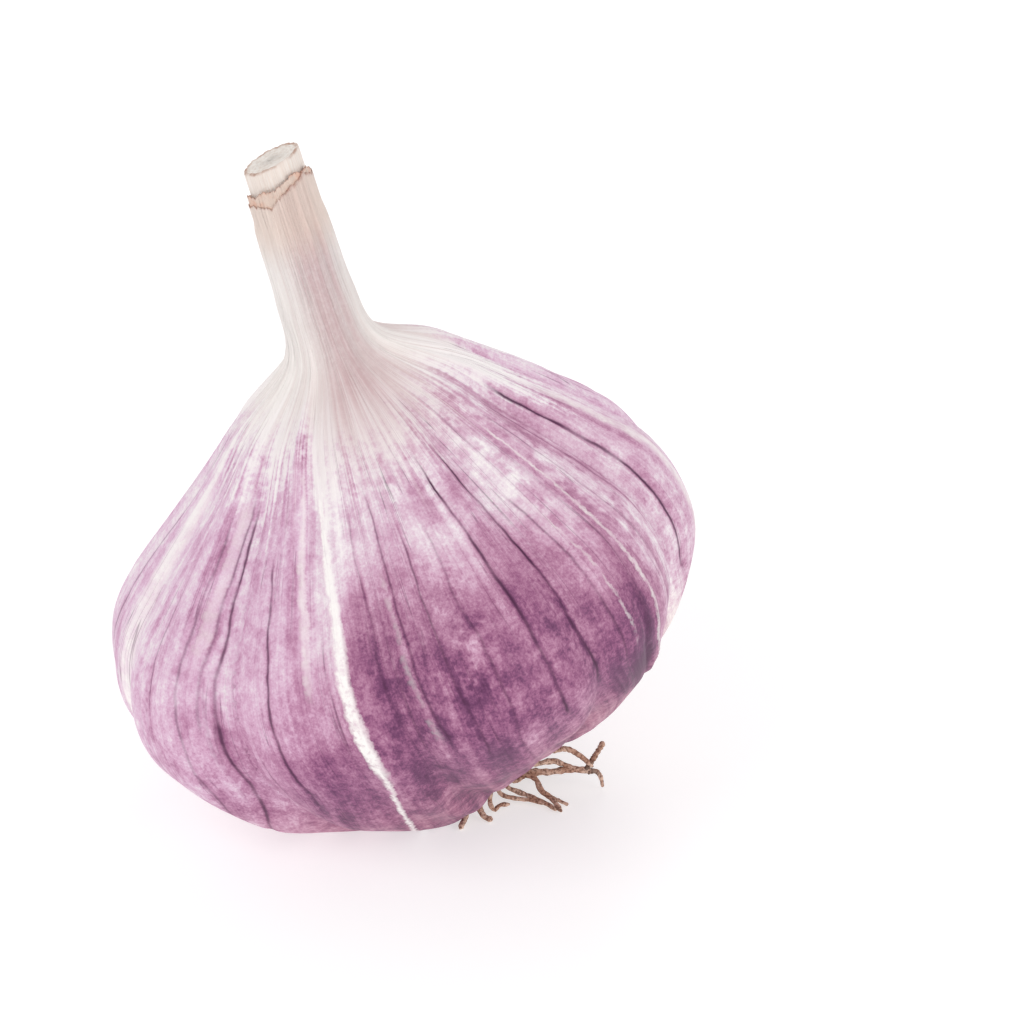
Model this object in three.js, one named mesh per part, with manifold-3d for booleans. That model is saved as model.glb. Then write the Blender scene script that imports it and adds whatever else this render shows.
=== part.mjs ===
// A purple-striped garlic bulb with a cut hard neck, leaning over on its lobes and its dried roots.
// Millimetres, +Z up. The origin is the middle of the small flat spot that the bulb rests on.
import * as THREE from "three";
import { mergeVertices } from "three/addons/utils/BufferGeometryUtils.js";
import Module from "manifold-3d";

const wasm = await Module();
wasm.setup();

// How the bulb lies. Its own axis runs from the root plate up through the neck.
const axisLean = 20.9; // degrees from upright
const axisLeanTowards = 180; // degrees from +X towards +Y
const axisTurn = 12.5; // degrees that the bulb is turned about its own axis
const bulbCentre = [5.5, 7.2, 19.1]; // height 0 of the bulb's own axis, from the rest spot

// The skin, [radius, height]: from the rim of the root hollow, round the cloves and up the neck.
const skinOutline = [
  [6.6, -13.1],
  [10.5, -16.2],
  [14.4, -14.8],
  [19.7, -11.1],
  [24.6, -6.8],
  [28.8, 1.1],
  [27.7, 8.8],
  [23.0, 14.7],
  [15.3, 21.8],
  [11.1, 25.6],
  [4.6, 30.2],
  [3.5, 36.0],
  [3.4, 42.0],
  [3.32, 44.8],
];
// The cloves stand off the neck's axis: [times round, share of the radius, angle of the swell].
const outOfRound = [
  [1, 0.099, 168],
  [2, 0.015, -56],
  [3, 0.044, 55],
  [4, 0.018, -1],
  [5, 0.017, -8],
];
// The cloves' feet end at unlike heights: [times round, mm, angle of the highest foot].
const footLift = [
  [1, 1.7, -60],
  [2, 0.8, -26],
  [3, 1.6, 37],
];
const neckBend = 5.5; // degrees, towards angle 0
const neckBendStart = 24.2;
const neckBendLength = 12;

// The cloves under the skin: the valley before each one and its depth, the clove's swell, and the
// height at which it is fullest.
const cloves = [
  { valley: 4, depth: 0.8, swell: 1.3, belly: 4 },
  { valley: 40, depth: 0.9, swell: 1.6, belly: 0 },
  { valley: 75, depth: 0.7, swell: 1.2, belly: 3 },
  { valley: 110, depth: 0.9, swell: 1.5, belly: -1 },
  { valley: 146, depth: 0.7, swell: 1.2, belly: 4 },
  { valley: 181, depth: 0.6, swell: 1.5, belly: 3 },
  { valley: 216, depth: 0.6, swell: 1.0, belly: 0 },
  { valley: 253, depth: 0.25, swell: 1.0, belly: 1 },
  { valley: 291, depth: 0.3, swell: 1.3, belly: 2 },
  { valley: 330, depth: 1.1, swell: 1.8, belly: 4 },
];
const bellyReach = 16; // mm above and below the belly
const valleyWidth = 5; // degrees to either side
// Low ribs of the dried skin on the cloves, where it gathers to the neck, and up the neck:
// [times round, height, angle of a crest].
const skinRibs = [
  [17, 0.14, 75],
  [26, 0.12, 10],
];
const gatherRibs = [
  [13, 0.22, 62],
  [21, 0.16, 28],
];
const neckRibs = [
  [9, 0.1, 40],
  [14, 0.08, 5],
];
const segmentsRound = 108;
const skinRings = 32;

// The two torn sheaths round the cut stalk. The edge of each rises and falls in waves round it:
// [times round, mm, angle of a crest].
const outerSheath = {
  radius: 3.32,
  top: 47.3,
  edge: [[1, 1.29, -27], [2, 0.24, 54], [3, 0.55, -57], [7, 0.14, 9], [13, 0.08, 7]],
};
const innerSheath = {
  radius: 3.2,
  top: 48.05,
  edge: [[1, 0.82, -55], [2, 0.29, -79], [3, 0.24, -43], [7, 0.12, 30], [11, 0.08, 2]],
};
const socketRadius = 3.08; // the socket that the stalk stands in
const socketFloor = 31;
const hollowFloor = [5.8, -12.9]; // radius and height of the hollow that holds the root plate

// The scape is the hard flower stalk, cut off slantwise a little above the sheaths.
const scapeRadius = 2.8;
const scapeTop = 50.4;
const scapeTopSlope = 0.21;
const scapeLowSide = 155;
const scapeFloor = 31.3;

// The root plate in the hollow under the bulb, [radius, height].
const plateOutline = [
  [1.5, -15.7],
  [4.2, -15.2],
  [5.9, -14.2],
  [5.9, -13.2],
];
const rootDepth = -14.3; // height inside the plate that the dried roots start from
// The strands in front: the place on the plate that one leaves, [radius, angle], its radius at
// both ends, and the points that it passes. One without a place on the plate grows out of another.
const strands = [
  { plate: [4.5, 300], thick: [0.34, 0.24],
    by: [[15, 2.7, 5.4], [17.5, 3.8, 4.8], [19, 4.2, 3.6], [20.1, 4.3, 2.4]] },
  { thick: [0.28, 0.26], by: [[19.4, 4.2, 2.1], [20.1, 4.5, 3.2], [20.8, 4.4, 4.6], [21.1, 4.3, 5.3]] },
  { plate: [3, 290], thick: [0.42, 0.32],
    by: [[13.2, 3.2, 2.9], [15.5, 3.5, 2.3], [18.1, 4.2, 2.2], [20.2, 4.1, 2]] },
  { thick: [0.3, 0.16], by: [[19.6, 4.1, 2], [20.5, 4.2, 1.9], [20.9, 4.1, 1.3], [21.1, 3.9, 0.3]] },
  { plate: [4, 310], thick: [0.32, 0.24],
    by: [[13.7, 2.9, 3.8], [16.3, 4.1, 3.2], [18.1, 4.1, 2.4], [19.8, 4.2, 2]] },
  { plate: [2.5, 280], thick: [0.28, 0.22],
    by: [[12.2, 2.6, 1.8], [13.8, 3.5, 2.2], [15.3, 3.7, 2.3]] },
  { plate: [3, 285], thick: [0.36, 0.26],
    by: [[13, 3.2, 2.6], [14.4, 2.7, 2], [15, 1.7, 1.2], [15.9, 1.1, 0.8], [16.9, -0.6, 0.3]] },
  { thick: [0.22, 0.16], by: [[15.3, 1.5, 1.1], [16.2, 1.2, 0.7], [17, 0.8, 0.5], [17.6, 0.6, 0.3]] },
  { plate: [2.5, 265], thick: [0.28, 0.22],
    by: [[11.4, 1.9, 1.8], [12.6, 1.8, 1.1], [14.2, 1.3, 0.7], [15.7, 0.4, 0.4], [16.4, -0.4, 0.3]] },
  { plate: [2, 250], thick: [0.26, 0.2],
    by: [[10.8, 1.2, 1.4], [12.1, 1.1, 0.8], [13.9, 1, 0.6], [15.3, 0.6, 0.4]] },
  { plate: [3, 245], thick: [0.28, 0.2],
    by: [[9.9, 0.4, 2.2], [9.9, -0.6, 1.1], [10.3, -0.7, 0.5], [10.8, -0.1, 0.7], [11.8, 0.4, 0.5]] },
  { plate: [4, 240], thick: [0.32, 0.3],
    by: [[9.4, 0.4, 3], [8.8, -1.1, 1.3], [9.2, -1.8, 0.6], [10.1, -2.2, 0.3]] },
  { plate: [4.5, 230], thick: [0.3, 0.28],
    by: [[8.9, 0.6, 3.4], [8, -0.7, 1.7], [7.4, -2.2, 0.6], [6.9, -3.7, 0.3]] },
];
// The roots behind, which are drawn by chance from a seeded row.
const rootCount = 16;
const stumpCount = 12;
const rootSeed = 10;
const rootFan = [50, 205]; // degrees from +X in which they spread
const rootWander = [-0.35, 0.35]; // how far a root strays from its way at each bend
const rootBends = 5;
const rootDip = -0.35; // fall on the way out
const rootLength = [4, 7];
const stumpLength = [2.5, 4.5];
const rootThick = [0.28, 0.42]; // radius where it leaves the plate
const rootTip = 0.2; // radius
const rootSides = 5;
const rootSteps = 8;

const papery = new THREE.MeshStandardMaterial({ color: 0xa9809f, roughness: 0.5, metalness: 0 });
const woody = new THREE.MeshStandardMaterial({ color: 0xe9ddd2, roughness: 0.7, metalness: 0 });
const rootBrown = new THREE.MeshStandardMaterial({ color: 0xb08f78, roughness: 0.85, metalness: 0 });

const radians = THREE.MathUtils.degToRad;
const smooth = THREE.MathUtils.smoothstep;

// Degrees from b to a, between -180 and 180.
function turnBetween(a, b) {
  return THREE.MathUtils.euclideanModulo(a - b + 180, 360) - 180;
}

// The sum of waves round the bulb, each [times round, size, angle of its crest].
function waves(list, angle) {
  return list.reduce((sum, [times, size, at]) => sum + size * Math.cos(times * radians(angle - at)), 0);
}

// From the bulb's own axis to the way it lies.
const leaning = new THREE.Matrix4();
{
  const towards = radians(axisLeanTowards);
  const level = new THREE.Vector3(-Math.sin(towards), Math.cos(towards), 0);
  const turn = new THREE.Matrix4().makeRotationZ(radians(axisTurn));
  leaning.makeRotationAxis(level, radians(axisLean)).multiply(turn).setPosition(...bulbCentre);
}

function solidOf(geometry) {
  const bare = geometry.clone();
  bare.deleteAttribute("normal");
  bare.deleteAttribute("uv");
  const merged = mergeVertices(bare, 1e-4);
  const mesh = new wasm.Mesh({
    numProp: 3,
    vertProperties: merged.attributes.position.array,
    triVerts: new Uint32Array(merged.index.array),
  });
  return new wasm.Manifold(mesh);
}

function geometryOf(solid) {
  const mesh = solid.getMesh();
  const geometry = new THREE.BufferGeometry();
  geometry.setAttribute("position", new THREE.BufferAttribute(mesh.vertProperties, 3));
  geometry.setIndex(new THREE.BufferAttribute(mesh.triVerts, 1));
  geometry.computeVertexNormals();
  return geometry;
}

function named(name, geometry, material) {
  const mesh = new THREE.Mesh(geometry, material);
  mesh.name = name;
  return mesh;
}

// How far the skin stands out from its outline, at an angle round the bulb.
function skinRelief(angle, radius, height) {
  let relief = 0;
  cloves.forEach((clove, i) => {
    const next = cloves[(i + 1) % cloves.length];
    const width = THREE.MathUtils.euclideanModulo(next.valley - clove.valley, 360);
    const off = Math.abs(turnBetween(angle, clove.valley + width / 2)) / width;
    const belly = Math.exp(-(((height - clove.belly) / bellyReach) ** 2));
    if (off < 0.5) relief += clove.swell * belly * (Math.cos(off * Math.PI) - 0.64);
    relief -= clove.depth * Math.exp(-((turnBetween(angle, clove.valley) / valleyWidth) ** 2));
  });
  relief = (relief + waves(skinRibs, angle)) * smooth(radius, 6, 17);
  const gather = smooth(height, 10, 23) * (1 - smooth(height, 27, 36));
  return relief + waves(gatherRibs, angle) * gather + waves(neckRibs, angle) * smooth(height, 22, 32);
}

// Places a point of the straight bulb on the bent one that leans.
function placed(radius, angle, straightHeight) {
  const swell = 1 + waves(outOfRound, angle) * THREE.MathUtils.clamp((radius - 4) / 20, 0, 1);
  const foot = smooth(-straightHeight, -6, 12) * smooth(radius, 3, 14);
  const height = straightHeight + waves(footLift, angle) * foot;
  const x = radius * swell * Math.cos(radians(angle));
  const y = radius * swell * Math.sin(radians(angle));
  const rate = radians(neckBend) / neckBendLength;
  const run = Math.max(0, height - neckBendStart);
  const bent = rate * Math.min(run, neckBendLength);
  const past = Math.max(0, run - neckBendLength);
  const aside = (1 - Math.cos(bent)) / rate + past * Math.sin(bent);
  const upwards = Math.sin(bent) / rate + past * Math.cos(bent);
  return new THREE.Vector3(
    aside + x * Math.cos(bent),
    y,
    Math.min(height, neckBendStart) + upwards - x * Math.sin(bent),
  ).applyMatrix4(leaning);
}

// Turns a closed profile of [radius, height] round the bulb's axis; shape moves each point of it.
function turned(profile, segments, shape) {
  const points = profile.map(([radius, height]) => new THREE.Vector2(radius, height));
  const geometry = new THREE.LatheGeometry(points, segments);
  const position = geometry.attributes.position;
  for (let i = 0; i <= segments; i++) {
    const angle = ((i % segments) * 360) / segments;
    for (let ring = 0; ring < points.length; ring++) {
      const [radius, height] = shape(ring, angle);
      const at = placed(radius, angle, height);
      position.setXYZ(i * points.length + ring, at.x, at.y, at.z);
    }
  }
  return geometry;
}

function makeBulb() {
  const outline = new THREE.SplineCurve(skinOutline.map(([r, h]) => new THREE.Vector2(r, h)));
  const skin = [];
  for (let i = 0; i < skinRings; i++) {
    const share = i / (skinRings - 1);
    skin.push({ at: outline.getPointAt(share), along: outline.getTangentAt(share) });
  }
  const hollow = [[0, hollowFloor[1]], hollowFloor];
  const skinProfile = skin.map(({ at }) => [at.x, at.y]);
  const lips = [
    [outerSheath.radius, outerSheath],
    [innerSheath.radius, outerSheath],
    [innerSheath.radius, innerSheath],
    [socketRadius, innerSheath],
  ];
  const lipProfile = lips.map(([radius, sheath]) => [radius, sheath.top]);
  const socket = [[socketRadius, 40], [socketRadius, socketFloor], [0, socketFloor]];
  const profile = [...hollow, ...skinProfile, ...lipProfile, ...socket];
  const firstLip = hollow.length + skin.length;
  const geometry = turned(profile, segmentsRound, (ring, angle) => {
    const [radius, height] = profile[ring];
    if (ring >= hollow.length && ring < firstLip) {
      const { along } = skin[ring - hollow.length];
      const relief = skinRelief(angle, radius, height);
      return [radius + relief * along.y, height - relief * along.x];
    }
    if (ring >= firstLip && ring < firstLip + lips.length) {
      const { top, edge } = lips[ring - firstLip][1];
      return [radius, top + waves(edge, angle)];
    }
    return [radius, height];
  });
  const ground = new THREE.BoxGeometry(200, 200, 40).translate(0, 0, -20);
  return solidOf(geometry).subtract(solidOf(ground));
}

function makeScape() {
  const profile = [
    [0, scapeFloor],
    [scapeRadius, scapeFloor],
    [scapeRadius, 40],
    [scapeRadius, 48],
    [scapeRadius, scapeTop - 0.15],
    [scapeRadius - 0.15, scapeTop],
    [scapeRadius * 0.5, scapeTop - 0.12],
    [0, scapeTop - 0.12],
  ];
  const geometry = turned(profile, 36, (ring, angle) => {
    const [radius, height] = profile[ring];
    const cut = ring >= 4 ? -scapeTopSlope * radius * Math.cos(radians(angle - scapeLowSide)) : 0;
    return [radius, height + cut];
  });
  return solidOf(geometry);
}

// A number between the two of a range, drawn in turn from the seeded row.
function draw([least, most]) {
  return least + (most - least) * THREE.MathUtils.seededRandom();
}

// The way of one root: out of the plate, over to its heading and at last along the ground.
function rootPath(start, setOff, heading, length) {
  const ahead = new THREE.Vector3(Math.cos(radians(heading)), Math.sin(radians(heading)), rootDip);
  const path = [start.clone()];
  for (let i = 1; i <= rootBends; i++) {
    const way = setOff.clone().lerp(ahead, Math.min(1, i / 3));
    way.x += draw(rootWander);
    way.y += draw(rootWander);
    way.z += draw(rootWander);
    const next = path[i - 1].clone().addScaledVector(way.normalize(), length / rootBends);
    next.z = Math.max(next.z, rootTip);
    path.push(next);
  }
  return path;
}

// A cylinder bent along the path, with its own radius at each end.
function makeRoot(path, [thick, thin], steps = rootSteps) {
  const curve = new THREE.CatmullRomCurve3(path);
  const frames = curve.computeFrenetFrames(steps);
  const geometry = new THREE.CylinderGeometry(thin, thick, 1, rootSides, steps);
  const position = geometry.attributes.position;
  for (let i = 0; i < position.count; i++) {
    const step = Math.round((position.getY(i) + 0.5) * steps);
    const at = curve.getPointAt(step / steps);
    at.addScaledVector(frames.binormals[step], position.getX(i));
    at.addScaledVector(frames.normals[step], position.getZ(i));
    position.setXYZ(i, at.x, at.y, Math.max(at.z, 0));
  }
  return solidOf(geometry);
}

function makeRootCrown() {
  const profile = [[0, plateOutline[0][1]], ...plateOutline, [0, plateOutline.at(-1)[1]]];
  let crown = solidOf(turned(profile, 36, (ring) => profile[ring]));
  for (const { plate, thick, by } of strands) {
    const path = by.map((point) => new THREE.Vector3(...point));
    if (plate) path.unshift(placed(...plate, rootDepth));
    crown = crown.add(makeRoot(path, thick, path.length * 2));
  }
  THREE.MathUtils.seededRandom(rootSeed);
  const down = new THREE.Vector3(0, 0, -1).transformDirection(leaning);
  for (let i = 0; i < rootCount; i++) {
    const heading = THREE.MathUtils.lerp(...rootFan, (i + draw([0, 1])) / rootCount);
    const start = placed(draw([1.5, 5]), heading - axisTurn + draw([-50, 50]), rootDepth);
    const length = draw(rootLength);
    const path = rootPath(start, down, heading, length);
    const thick = draw(rootThick);
    crown = crown.add(makeRoot(path, [thick, rootTip]));
    if (i % 2 === 0) {
      const way = path[3].clone().sub(path[2]).normalize();
      const aside = draw([30, 60]) * Math.sign(draw([-1, 1]));
      const shoot = rootPath(path[2], way, heading + aside, length / 2);
      crown = crown.add(makeRoot(shoot, [thick * 0.7, rootTip], 5));
    }
  }
  for (let i = 0; i < stumpCount; i++) {
    const around = 360 * ((i + draw([0, 0.6])) / stumpCount);
    const start = placed(draw([1, 5]), around, rootDepth);
    const path = rootPath(start, down, around + axisTurn, draw(stumpLength));
    crown = crown.add(makeRoot(path, [draw(rootThick), rootTip], 4));
  }
  // Of what the roots shut in between them or leave loose, only the crown's own body is kept.
  return crown.decompose().reduce((most, piece) => (piece.volume() > most.volume() ? piece : most));
}

const garlic = new THREE.Group();
garlic.add(named("bulb", geometryOf(makeBulb()), papery));
garlic.add(named("scape", geometryOf(makeScape()), woody));
garlic.add(named("root_crown", geometryOf(makeRootCrown()), rootBrown));

export default garlic;
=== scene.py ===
import math

import bmesh
import bpy
import numpy as np
from mathutils import Matrix, Vector


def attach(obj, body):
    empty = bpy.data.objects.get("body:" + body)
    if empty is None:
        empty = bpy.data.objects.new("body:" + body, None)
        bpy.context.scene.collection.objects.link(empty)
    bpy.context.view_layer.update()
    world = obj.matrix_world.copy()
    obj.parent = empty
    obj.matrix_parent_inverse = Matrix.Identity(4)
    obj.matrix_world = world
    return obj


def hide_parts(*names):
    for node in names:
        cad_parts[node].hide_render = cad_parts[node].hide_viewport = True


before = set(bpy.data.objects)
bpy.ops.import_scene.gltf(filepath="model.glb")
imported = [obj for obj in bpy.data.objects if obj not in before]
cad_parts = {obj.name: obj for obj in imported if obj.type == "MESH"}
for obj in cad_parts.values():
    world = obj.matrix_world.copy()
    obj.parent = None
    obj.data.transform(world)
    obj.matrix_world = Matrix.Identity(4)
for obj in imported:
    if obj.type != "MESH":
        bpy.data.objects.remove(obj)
print("frame loaded:", sorted(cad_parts))
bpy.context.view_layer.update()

mm = 0.001


# the bulb's shape, as the part's source gives it: millimetres and degrees
bulb = {
    "lean": 20.9,
    "leanTowards": 180,
    "turn": 12.5,
    "centre": (5.5, 7.2, 19.1),
    # [radius, height] from the rim of the root hollow, round the cloves and up the neck
    "outline": [
        (6.6, -13.1), (10.5, -16.2), (14.4, -14.8), (19.7, -11.1), (24.6, -6.8), (28.8, 1.1), (27.7, 8.8),
        (23.0, 14.7), (15.3, 21.8), (11.1, 25.6), (4.6, 30.2), (3.5, 36.0), (3.4, 42.0), (3.32, 44.8),
    ],
    "outOfRound": [(1, 0.099, 168), (2, 0.015, -56), (3, 0.044, 55), (4, 0.018, -1), (5, 0.017, -8)],
    "footLift": [(1, 1.7, -60), (2, 0.8, -26), (3, 1.6, 37)],
    "neckBend": 5.5,
    "neckBendStart": 24.2,
    "neckBendLength": 12,
    # valley before the clove, its depth, the clove's swell and the height where it is fullest
    "cloves": [
        (4, 0.8, 1.3, 4), (40, 0.9, 1.6, 0), (75, 0.7, 1.2, 3), (110, 0.9, 1.5, -1), (146, 0.7, 1.2, 4),
        (181, 0.6, 1.5, 3), (216, 0.6, 1.0, 0), (253, 0.25, 1.0, 1), (291, 0.3, 1.3, 2), (330, 1.1, 1.8, 4),
    ],
    "bellyReach": 16,
    "valleyWidth": 5,
    "skinRibs": [(17, 0.14, 75), (26, 0.12, 10)],
    "gatherRibs": [(13, 0.22, 62), (21, 0.16, 28)],
    "neckRibs": [(9, 0.1, 40), (14, 0.08, 5)],
    "hollow": (5.8, -12.9),
    "socket": (3.08, 31),
    "segments": 330,
    "rings": 246,
    "outlineEnd": 0.984,     # the station at the outline's end, below the torn edges
}


def smooth(value, low, high):
    t = np.clip((value - low) / (high - low), 0, 1)
    return t * t * (3 - 2 * t)


def turnBetween(a, b):
    return (a - b + 180) % 360 - 180


def waves(terms, angle):
    return sum(size * np.cos(times * np.radians(angle - at)) for times, size, at in terms)


def cloveRelief(angle, radius, height):
    relief = np.zeros_like(angle)
    for i, (valley, depth, swell, belly) in enumerate(bulb["cloves"]):
        width = (bulb["cloves"][(i + 1) % len(bulb["cloves"])][0] - valley) % 360
        off = np.abs(turnBetween(angle, valley + width / 2)) / width
        bulge = np.exp(-(((height - belly) / bulb["bellyReach"]) ** 2))
        relief += np.where(off < 0.5, swell * bulge * (np.cos(off * np.pi) - 0.64), 0)
        relief -= depth * np.exp(-((turnBetween(angle, valley) / bulb["valleyWidth"]) ** 2))
    relief = (relief + waves(bulb["skinRibs"], angle)) * smooth(radius, 6, 17)
    gather = smooth(height, 10, 23) * (1 - smooth(height, 27, 36))
    relief = relief + waves(bulb["gatherRibs"], angle) * gather
    return relief + waves(bulb["neckRibs"], angle) * smooth(height, 22, 32)


# from the straight bulb, standing on its own axis, to the one that leans
def placed(radius, angle, height):
    swell = 1 + waves(bulb["outOfRound"], angle) * np.clip((radius - 4) / 20, 0, 1)
    height = height + waves(bulb["footLift"], angle) * smooth(-height, -6, 12) * smooth(radius, 3, 14)
    x = radius * swell * np.cos(np.radians(angle))
    y = radius * swell * np.sin(np.radians(angle))
    rate = math.radians(bulb["neckBend"]) / bulb["neckBendLength"]
    run = np.maximum(0, height - bulb["neckBendStart"])
    bent = rate * np.minimum(run, bulb["neckBendLength"])
    past = np.maximum(0, run - bulb["neckBendLength"])
    aside = (1 - np.cos(bent)) / rate + past * np.sin(bent) + x * np.cos(bent)
    upwards = np.minimum(height, bulb["neckBendStart"]) + np.sin(bent) / rate
    upwards = upwards + past * np.cos(bent) - x * np.sin(bent)
    straight = np.stack([aside, y, upwards], -1)
    return straight @ np.array(leaning.to_3x3()).T + np.array(bulb["centre"])


towards = math.radians(bulb["leanTowards"])
level = Vector((-math.sin(towards), math.cos(towards), 0))
leaning = Matrix.Rotation(math.radians(bulb["lean"]), 4, level)
leaning = leaning @ Matrix.Rotation(math.radians(bulb["turn"]), 4, "Z")


# Points at even distances along a curve through the given ones, and the curve's direction at each.
# A loose curve swings less between points that are unevenly apart.
def curveThrough(points, count, loose=False):
    points = np.array(points, float)
    ends = (2 * points[0] - points[1], 2 * points[-1] - points[-2]) if loose else (points[0], points[-1])
    points = np.concatenate([[ends[0]], points, [ends[1]]])
    steps = np.sqrt(np.linalg.norm(np.diff(points, axis=0), axis=1)) if loose else np.ones(len(points) - 1)
    t = np.linspace(0, len(points) - 3, 4000)
    i = np.minimum(t.astype(int), len(points) - 4) + 1
    w = (t - (i - 1))[:, None]
    before, a, b, after = points[i - 1], points[i], points[i + 1], points[i + 2]
    d0, d1, d2 = (steps[i + k][:, None] for k in (-1, 0, 1))
    v0 = ((a - before) / d0 - (b - before) / (d0 + d1) + (b - a) / d1) * d1
    v1 = ((b - a) / d1 - (after - a) / (d1 + d2) + (after - b) / d2) * d1
    fine = (2 * a - 2 * b + v0 + v1) * w**3 + (-3 * a + 3 * b - 2 * v0 - v1) * w**2 + v0 * w + a
    run = np.concatenate([[0], np.cumsum(np.linalg.norm(np.diff(fine, axis=0), axis=1))])
    at = np.linspace(0, run[-1], count)
    even = np.stack([np.interp(at, run, fine[:, k]) for k in range(points.shape[1])], 1)
    along = np.gradient(even, axis=0)
    return even, along / np.linalg.norm(along, axis=1)[:, None]


# a profile of [radius, height, station] spun round the axis into a closed mesh, still straight
def spun(name, profile, segments):
    shape = bmesh.new()
    stationLayer = shape.verts.layers.float.new("station")
    row = []
    for radius, height, station in profile:
        vert = shape.verts.new((radius, 0, height))
        vert[stationLayer] = station
        row.append(vert)
    edges = [shape.edges.new(pair) for pair in zip(row, row[1:])]
    bmesh.ops.spin(
        shape, geom=row + edges, cent=(0, 0, 0), axis=(0, 0, 1), angle=math.tau, steps=segments,
        use_merge=True, use_duplicate=False,
    )
    bmesh.ops.remove_doubles(shape, verts=shape.verts, dist=1e-5)
    bmesh.ops.recalc_face_normals(shape, faces=shape.faces)
    for face in shape.faces:
        face.smooth = True
    mesh = bpy.data.meshes.new(name)
    shape.to_mesh(mesh)
    shape.free()
    return mesh


def meshPoints(mesh):
    flat = np.empty(len(mesh.vertices) * 3)
    mesh.vertices.foreach_get("co", flat)
    return flat.reshape(-1, 3)


def setPoints(mesh, points):
    mesh.vertices.foreach_set("co", points.ravel())
    mesh.update()


def stationsOf(mesh):
    flat = np.empty(len(mesh.vertices))
    mesh.attributes["station"].data.foreach_get("value", flat)
    return flat


# two ways to find a place on a spun piece: "round" as a UV of [degrees / 360, station], whose seam
# is behind at 90 degrees, and "wrap" as [cos, sin, station], which has no seam
def addPlaces(mesh, angle, station):
    wrap = mesh.attributes.new("wrap", "FLOAT_VECTOR", "POINT")
    turn = np.radians(angle)
    wrap.data.foreach_set("vector", np.stack([np.cos(turn), np.sin(turn), station], 1).ravel())
    corners = np.empty(len(mesh.loops), int)
    mesh.loops.foreach_get("vertex_index", corners)
    sides = np.empty(len(mesh.polygons), int)
    mesh.polygons.foreach_get("loop_total", sides)
    face = np.repeat(np.arange(len(sides)), sides)
    share = ((angle - 90) % 360 / 360 + 0.25)[corners]
    highest = np.zeros(len(sides))
    np.maximum.at(highest, face, share)
    share = np.where(highest[face] - share > 0.5, share + 1, share)
    layer = mesh.uv_layers.new(name="round")
    layer.uv.foreach_set("vector", np.stack([share, station[corners]], 1).astype(np.float32).ravel())


def finished(mesh, material, node):
    piece = bpy.data.objects.new(mesh.name, mesh)
    bpy.context.scene.collection.objects.link(piece)
    mesh.materials.append(material)
    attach(piece, "root")
    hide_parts(node)
    return piece


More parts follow.
